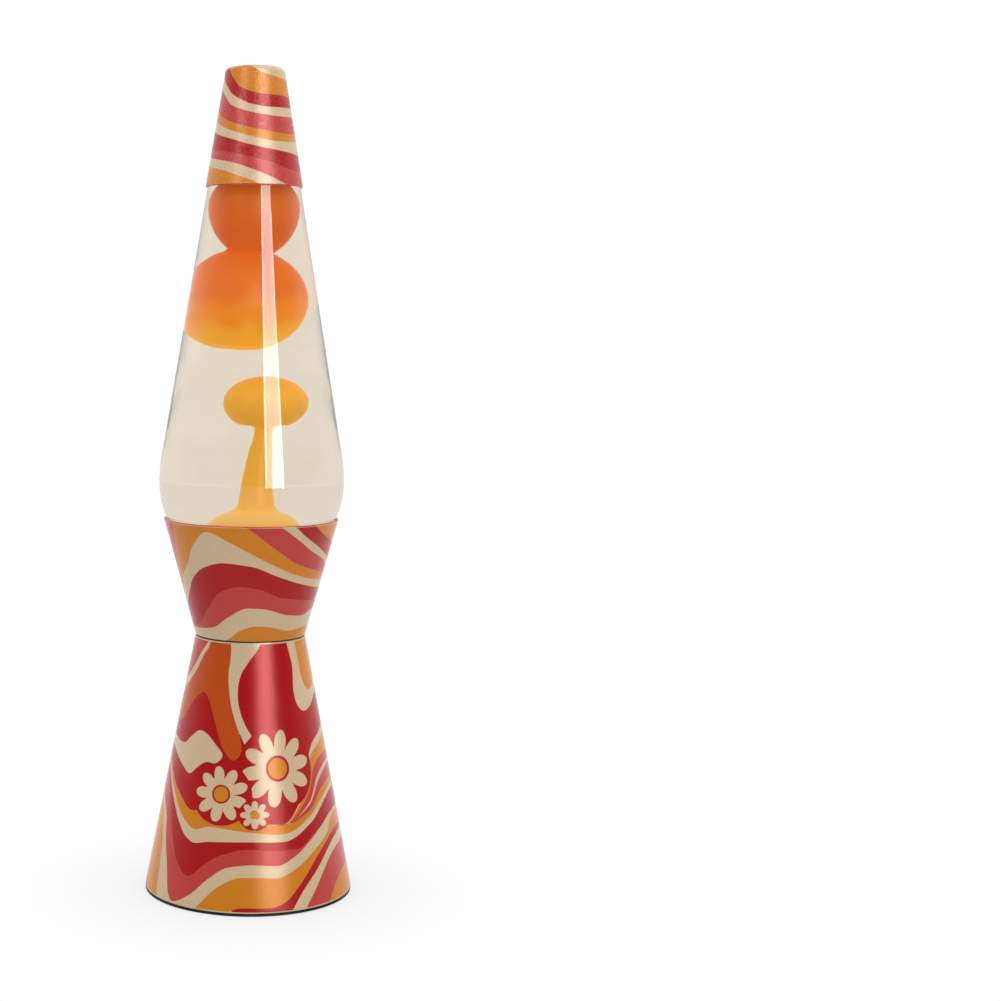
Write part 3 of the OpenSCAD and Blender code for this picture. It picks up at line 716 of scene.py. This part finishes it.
def liquid():
    """The filling, a hair inside the glass, up to its level at the shoulder."""
    gap = GLASS + 0.06
    low = FLOOR_Z + FLOOR_ROUND
    roll = [p for p in shoulder(wall_radius(SHOULDER_Z, gap), MOUTH_R) if p[1] < LIQUID_Z]
    top_r = roll[-1][0]
    outline = [(0, FLOOR_Z + 0.1), (wall_radius(low, gap) - FLOOR_ROUND, FLOOR_Z + 0.1)]
    outline += wall(low, gap) + roll
    outline += [(top_r - 0.2, LIQUID_Z - 0.2), (top_r - 1.2, LIQUID_Z - 0.5), (0, LIQUID_Z - 0.5)]
    return lathe("liquid_fill", outline, 192)


# ---- wax ----


def ball(z, mid, radius, half_below, half_above):
    """Radius at height z of a ball that may be taller above its middle than below it."""
    reach = half_above if z > mid else half_below
    return radius * math.sqrt(max(0.0, 1 - ((z - mid) / reach) ** 2))


def blended(radii):
    """One radius for several that overlap, with their creases rounded. A lower power rounds more."""
    power = 12
    return sum(r**power for r in radii) ** (1 / power)


def ease(value, low, high):
    """0 up to low, 1 from high on, and smooth between."""
    s = min(1.0, max(0.0, (value - low) / (high - low)))
    return s * s * (3 - 2 * s)


def between(low, high, count):
    """Heights from low to high, closer together towards both ends."""
    return [(low + high) / 2 - (high - low) / 2 * math.cos(math.pi * i / count) for i in range(count + 1)]


def ray_to_circle(x, y, a, circle):
    """How far a ray from (x, y) at angle a runs in a circle (x, y, radius), or 0 from a point outside it."""
    cx, cy, radius = circle[0] - x, circle[1] - y, circle[2]
    along = cx * math.sin(a) - cy * math.cos(a)
    across = cx * math.cos(a) + cy * math.sin(a)
    if math.hypot(cx, cy) >= radius:
        return 0.0
    return along + math.sqrt(radius**2 - across**2)


# The free wax, from its lowest to its highest point, and its balls, each as x, y and what ball() takes
BUBBLE_Z, BUBBLE_TOP = 264.0, 350.0
BUBBLE_BALLS = [
    (-3.2, 0.0, 288, 23, 24, 25.2),
    (-8.0, 3.0, 281, 19, 16.5, 16.5),
    (0.0, 0.0, 333, 16.5, 24.3, 17),
]


def wax_bubble():
    """Three balls of wax run together. The first and the top one meet in a crease, and the second bulges from
    the first one's side towards the glass."""
    rings = [[(-7.0, 2.0, BUBBLE_Z)]]
    for z in between(BUBBLE_Z, BUBBLE_TOP, 110)[1:-1]:
        circles = [(ball_x, ball_y, ball(z, *size)) for ball_x, ball_y, *size in BUBBLE_BALLS]
        # A ring is drawn round a point inside the wax, which moves over from the second ball to the top one
        lowness = 1 - ease(z, BUBBLE_Z, 288)
        x = -3.2 * (1 - ease(z, 296, 330)) - 4 * lowness
        y = 2 * lowness
        ring = []
        for a in turns(128):
            reach = blended([ray_to_circle(x, y, a, circle) for circle in circles])
            ring.append((x + reach * math.sin(a), y - reach * math.cos(a), z))
        rings.append(ring)
    return skin("wax_blob", rings + [[(0, 0, BUBBLE_TOP)]])


# The settled wax: the pool's top at the glass, and the mushroom on the column
POOL_Z = 160.0
MUSHROOM_Z, MUSHROOM_TOP = 228.3, 251.8
MUSHROOM_R, MUSHROOM_HALF = 15.6, 13


def column_middle(z):
    """How far the column leans to the right at height z."""
    return 1.8 * ease(z, 178, 196) + 3.2 * ease(z, 196, 240)


def wax_column():
    """The settled wax: pool, mound, leaning column and mushroom, as one turned shape whose axis leans."""
    inset = GLASS + 0.12
    low = FLOOR_Z + FLOOR_ROUND
    outline = [(0, FLOOR_Z + 0.2), (wall_radius(low, inset) - FLOOR_ROUND, FLOOR_Z + 0.2)]
    outline += [(wall_radius(z, inset), z) for z in np.linspace(low, POOL_Z, 8)]
    pool_r = wall_radius(POOL_Z, inset)
    side = {POOL_Z: pool_r, 161.5: pool_r - 0.8, 164: pool_r - 3.2, 172: 23, 181: 20, 187: 16.2, 190: 12,
            191.6: 8.2, 193.5: 6.8, 204: 5.4, 216: 4.2, 224: 3.3, 226.8: 3.4, MUSHROOM_Z: 5.2}
    heights = np.linspace(POOL_Z + 0.4, MUSHROOM_Z, 110)
    outline += list(zip(smooth_line(list(side), side.values(), heights).tolist(), heights))
    middle_z = MUSHROOM_TOP - MUSHROOM_HALF
    for z in between(MUSHROOM_Z + 0.2, MUSHROOM_TOP, 48)[1:-1]:
        outline.append((ball(z, middle_z, MUSHROOM_R, MUSHROOM_HALF, MUSHROOM_HALF), z))
    outline.append((0, MUSHROOM_TOP))
    return lathe("wax_settled", outline, 128, middle=column_middle)


# ---- pieces ----


def stand_in(piece, node_name, body, slot, *materials):
    """Puts a piece in its CAD node's place on a body, with its materials. slot is not used."""
    for material in materials:
        piece.data.materials.append(material)
    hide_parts(node_name)
    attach(piece, body)


stand_film = printed_film("stand_film", rough=(0.2, 0.27), gloss=0.26, peel=0.5)
cap_film = printed_film("cap_film", rough=(0.22, 0.34), gloss=0.5, peel=1.0)
stand_in(cap_wrap(), "cap_wrap", "cap", "printed_film", cap_film)
stand_in(holder_wrap(), "holder_wrap", "stand", "printed_film", stand_film)
stand_in(base_wrap(), "base_wrap", "stand", "printed_film", stand_film)
stand_in(glass_bottle(), "glass_bottle", "bottle", "clear_glass")
stand_in(liquid(), "liquid", "bottle", "lamp_liquid", lamp_liquid())

# Colours of the wax by height in millimetres. How they change with height is painted light from the bulb
# below, paler and yellower lower down, and they also feed a painted glow
WARM_WAX_GLOW = [
    (264, (255, 190, 56)),
    (272, (254, 178, 46)),
    (282, (244, 144, 32)),
    (294, (224, 112, 22)),
    (318, (214, 100, 18)),
    (336, (218, 103, 18)),
    (350, (210, 92, 16)),
]
SETTLED_WAX_GLOW = [
    (150, (222, 180, 94)),
    (189, (220, 176, 88)),
    (194, (232, 174, 58)),
    (228, (234, 174, 54)),
    (246, (233, 171, 54)),
    (253, (230, 156, 48)),
]
stand_in(wax_bubble(), "wax_bubble", "wax_bubble", "wax", wax("wax_warm_glow", WARM_WAX_GLOW))
stand_in(wax_column(), "wax_column", "bottle", "wax", wax("wax_settled", SETTLED_WAX_GLOW))


def dress(material, *node_names):
    """Gives the CAD pieces of these nodes a material in place of their own."""
    for name in node_names:
        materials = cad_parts[name].data.materials
        materials.clear()
        materials.append(material)


def metal(name, dark, light, rough, grain, bump, stretch=(1, 1, 1)):
    """A grained surface of bare metal."""
    return grained(name, dark, light, rough, grain, bump, stretch, Metallic=1.0)


# Spinning draws the metal's grain out round the axis
SPUN = (1, 1, 40)
dress(
    metal("spun_aluminium", (196, 196, 198), (222, 222, 224), (0.25, 0.42), 60, (0.15, 0.0002), SPUN),
    "cap_shell", "holder_shell", "base_shell",
)
dress(
    metal("rivet_aluminium", (190, 190, 192), (226, 226, 228), (0.22, 0.4), 900, (0.1, 0.0001)),
    "waist_rivets",
)
dress(
    metal("zinc_plate", (168, 172, 178), (206, 208, 210), (0.22, 0.42), 500, (0.12, 0.0001)),
    "base_screws", "socket_bracket", "socket_nipple", "socket_locknut", "socket_washer",
)
dress(
    metal("tinplate", (156, 154, 148), (188, 184, 174), (0.2, 0.34), 400, (0.08, 0.0001)),
    "crown_cap",
)
dress(
    metal("steel_wire", (150, 152, 156), (190, 192, 194), (0.2, 0.4), 900, (0.1, 0.00005)),
    "wax_coil",
)
dress(
    metal("nickel_plate", (184, 178, 164), (214, 208, 196), (0.14, 0.3), 600, (0.1, 0.0001)),
    "bulb_cap", "bulb_lead_wires",
)
dress(
    metal("brass_sheet", (184, 142, 66), (222, 182, 102), (0.2, 0.4), 600, (0.1, 0.0001)),
    "socket_terminals", "socket_screw_shell", "socket_contact",
)
dress(
    metal("solder", (150, 150, 148), (190, 188, 184), (0.3, 0.5), 900, (0.3, 0.0002)),
    "bulb_contact",
)
dress(
    metal("tungsten_wire", (86, 86, 90), (120, 120, 124), (0.4, 0.6), 4000, (0.4, 0.0001)),
    "bulb_filament",
)
dress(
    grained("black_rubber", (16, 16, 17), (30, 30, 31), (0.6, 0.82), 1500, (0.3, 0.0001)),
    "waist_gasket", "base_feet", "cord_grommet",
)
BLACK, NEAR_BLACK = (3, 3, 3), (9, 9, 10)
dress(
    grained("black_plastic", BLACK, NEAR_BLACK, (0.5, 0.7), 1400, (0.25, 0.0001), Specular_IOR_Level=0.25),
    "base_plate",
)
dress(
    grained("black_glass", (22, 14, 22), (40, 26, 38), (0.08, 0.2), 600, (0.08, 0.0001)),
    "bulb_insulator",
)
dress(
    grained("ivory_plastic", (228, 220, 200), (240, 234, 216), (0.28, 0.45), 900, (0.12, 0.0001)),
    "socket_housing", "socket_skirt",
)
dress(
    grained("white_ceramic", (226, 224, 218), (244, 242, 236), (0.4, 0.65), 1200, (0.3, 0.0001)),
    "socket_insert",
)
dress(
    grained("liner_plastic", (224, 224, 218), (238, 238, 232), (0.4, 0.6), 900, (0.1, 0.0001)),
    "crown_liner",
)
SILVER, PALE_SILVER = (214, 212, 208), (238, 236, 232)
dress(
    grained("mirrored_glass", SILVER, PALE_SILVER, (0.08, 0.2), 300, (0.05, 0.0002), Metallic=0.7),
    "bulb_glass",
)
dress(
    clear_glass("stem_glass", GLASS_IOR, (250, 252, 252)),
    "bulb_stem",
)


# ---- room, lights and camera ----


def floor():
    """A white sheet that glows. It has a painted shadow, darker where the lamp stands close, and lights the
    lamp only dimly.
    """
    half = 4.0
    corners = [(-half, -half, 0), (half, -half, 0), (half, half, 0), (-half, half, 0)]
    mesh = bpy.data.meshes.new("floor")
    mesh.from_pydata(corners, [], [(0, 1, 2, 3)])
    piece = bpy.data.objects.new("floor", mesh)
    bpy.context.scene.collection.objects.link(piece)
    mat, shader = new_material("floor_white", Base_Color=(0, 0, 0, 1), Roughness=0.9, Specular_IOR_Level=0.0)
    # Painted shadow: the glow dims where ambient occlusion finds the lamp close by
    open_sky = add_node(mat, "AmbientOcclusion", {"Distance": 0.15}, samples=8).outputs["AO"]
    shade = add_node(mat, "MapRange", {"Value": open_sky, "From Min": 0.3, "To Min": 0.74, "To Max": 1.02})
    feed(mat, shader, "Emission Color", grey(mat, shade.outputs["Result"]))
    bounced = add_node(mat, "LightPath").outputs["Is Diffuse Ray"]
    glow = add_node(mat, "MapRange", {"Value": bounced, "To Min": 1.0, "To Max": 0.38})
    feed(mat, shader, "Emission Strength", glow.outputs["Result"])
    mesh.materials.append(mat)


def room():
    """A white room, bright behind and beside the lamp and dim in front of it. The camera sees it plain white,
    and the bottle never bends the view into its dim part."""
    world = bpy.data.worlds.new("room")
    bpy.context.scene.world = world
    world.use_nodes = True
    direction = add_node(world, "TexCoord").outputs["Generated"]
    backwards = add_node(world, "SeparateXYZ", {"Vector": direction}).outputs["Y"]
    fade = {"Value": backwards, "From Min": -0.6, "From Max": 0.5, "To Min": 0.16, "To Max": 0.95}
    walls = add_node(world, "MapRange", fade, interpolation_type="SMOOTHSTEP").outputs["Result"]
    rays = add_node(world, "LightPath").outputs
    least = add_node(world, "Math", {0: rays["Is Transmission Ray"], 1: 0.62}, operation="MULTIPLY")
    strength = add_node(world, "Math", {0: walls, 1: least.outputs["Value"]}, operation="MAXIMUM")
    lit = world.node_tree.nodes["Background"]
    lit.inputs["Color"].default_value = (1, 0.988, 0.972, 1)
    feed(world, lit, "Strength", strength.outputs["Value"])
    plain = add_node(world, "Background", {"Color": (1, 1, 1, 1), "Strength": 1.05})
    seen = {0: rays["Is Camera Ray"], 1: lit.outputs["Background"], 2: plain.outputs["Background"]}
    show(world, add_node(world, "MixShader", seen).outputs["Shader"], "World Output")


def soft_box(name, azimuth, distance, height, size, radiance, glossy=True, diffuse=True, tilt=0):
    """A rectangular light that faces the lamp's axis and looks down by tilt degrees. Azimuth 0 is in front.
    One that isn't glossy has no reflection, and one that isn't diffuse is nothing but a reflection."""
    data = bpy.data.lights.new(name, "AREA")
    data.shape = "RECTANGLE"
    data.size, data.size_y = size
    data.energy = radiance * math.pi * size[0] * size[1]
    light = bpy.data.objects.new(name, data)
    turn = math.radians(azimuth)
    light.location = (distance * math.sin(turn), -distance * math.cos(turn), height)
    light.rotation_euler = (math.radians(90 - tilt), 0, turn)
    light.visible_glossy = glossy
    light.visible_diffuse = diffuse
    light.visible_transmission = False
    bpy.context.scene.collection.objects.link(light)


def window():
    """The tall window that shows as a streak down the lamp, brighter along both its sides."""
    azimuth, side_turn, distance, height, tall = 28, 10.6, 1.3, 0.65, 1.11
    soft_box("window", azimuth, distance, height, size=(0.46, tall), radiance=8.5, diffuse=False)
    for side, turn in (("left", -side_turn), ("right", side_turn)):
        name = "window_edge_" + side
        soft_box(name, azimuth + turn, distance, height, size=(0.04, tall), radiance=18, diffuse=False)


def camera():
    """The lamp stands in the left half of the frame, seen from a little above its middle."""
    distance, height = 0.9026, 0.2755
    down, roll = math.radians(5.25), math.radians(-0.52)
    data = bpy.data.cameras.new("camera")
    data.lens = 66.75
    data.shift_x = 0.24675
    data.clip_start = 0.05
    piece = bpy.data.objects.new("camera", data)
    piece.location = (0, -distance, height)
    piece.rotation_mode = "XYZ"
    piece.rotation_euler = (math.pi / 2 - down, roll, 0)
    bpy.context.scene.collection.objects.link(piece)
    bpy.context.scene.camera = piece


floor()
room()
window()
soft_box("cap_gleam", -44, 1.3, 1.04, size=(0.26, 0.26), radiance=16, diffuse=False, tilt=27)
soft_box("key", 34, 1.5, 0.75, size=(0.9, 1.2), radiance=2.0, glossy=False)
soft_box("fill", -40, 1.5, 0.7, size=(1.0, 1.2), radiance=0.95, glossy=False)
soft_box("overhead", 0, 0.35, 1.7, size=(1.4, 1.4), radiance=2.0, glossy=False, tilt=78)
camera()
bpy.context.scene.view_settings.view_transform = "Standard"
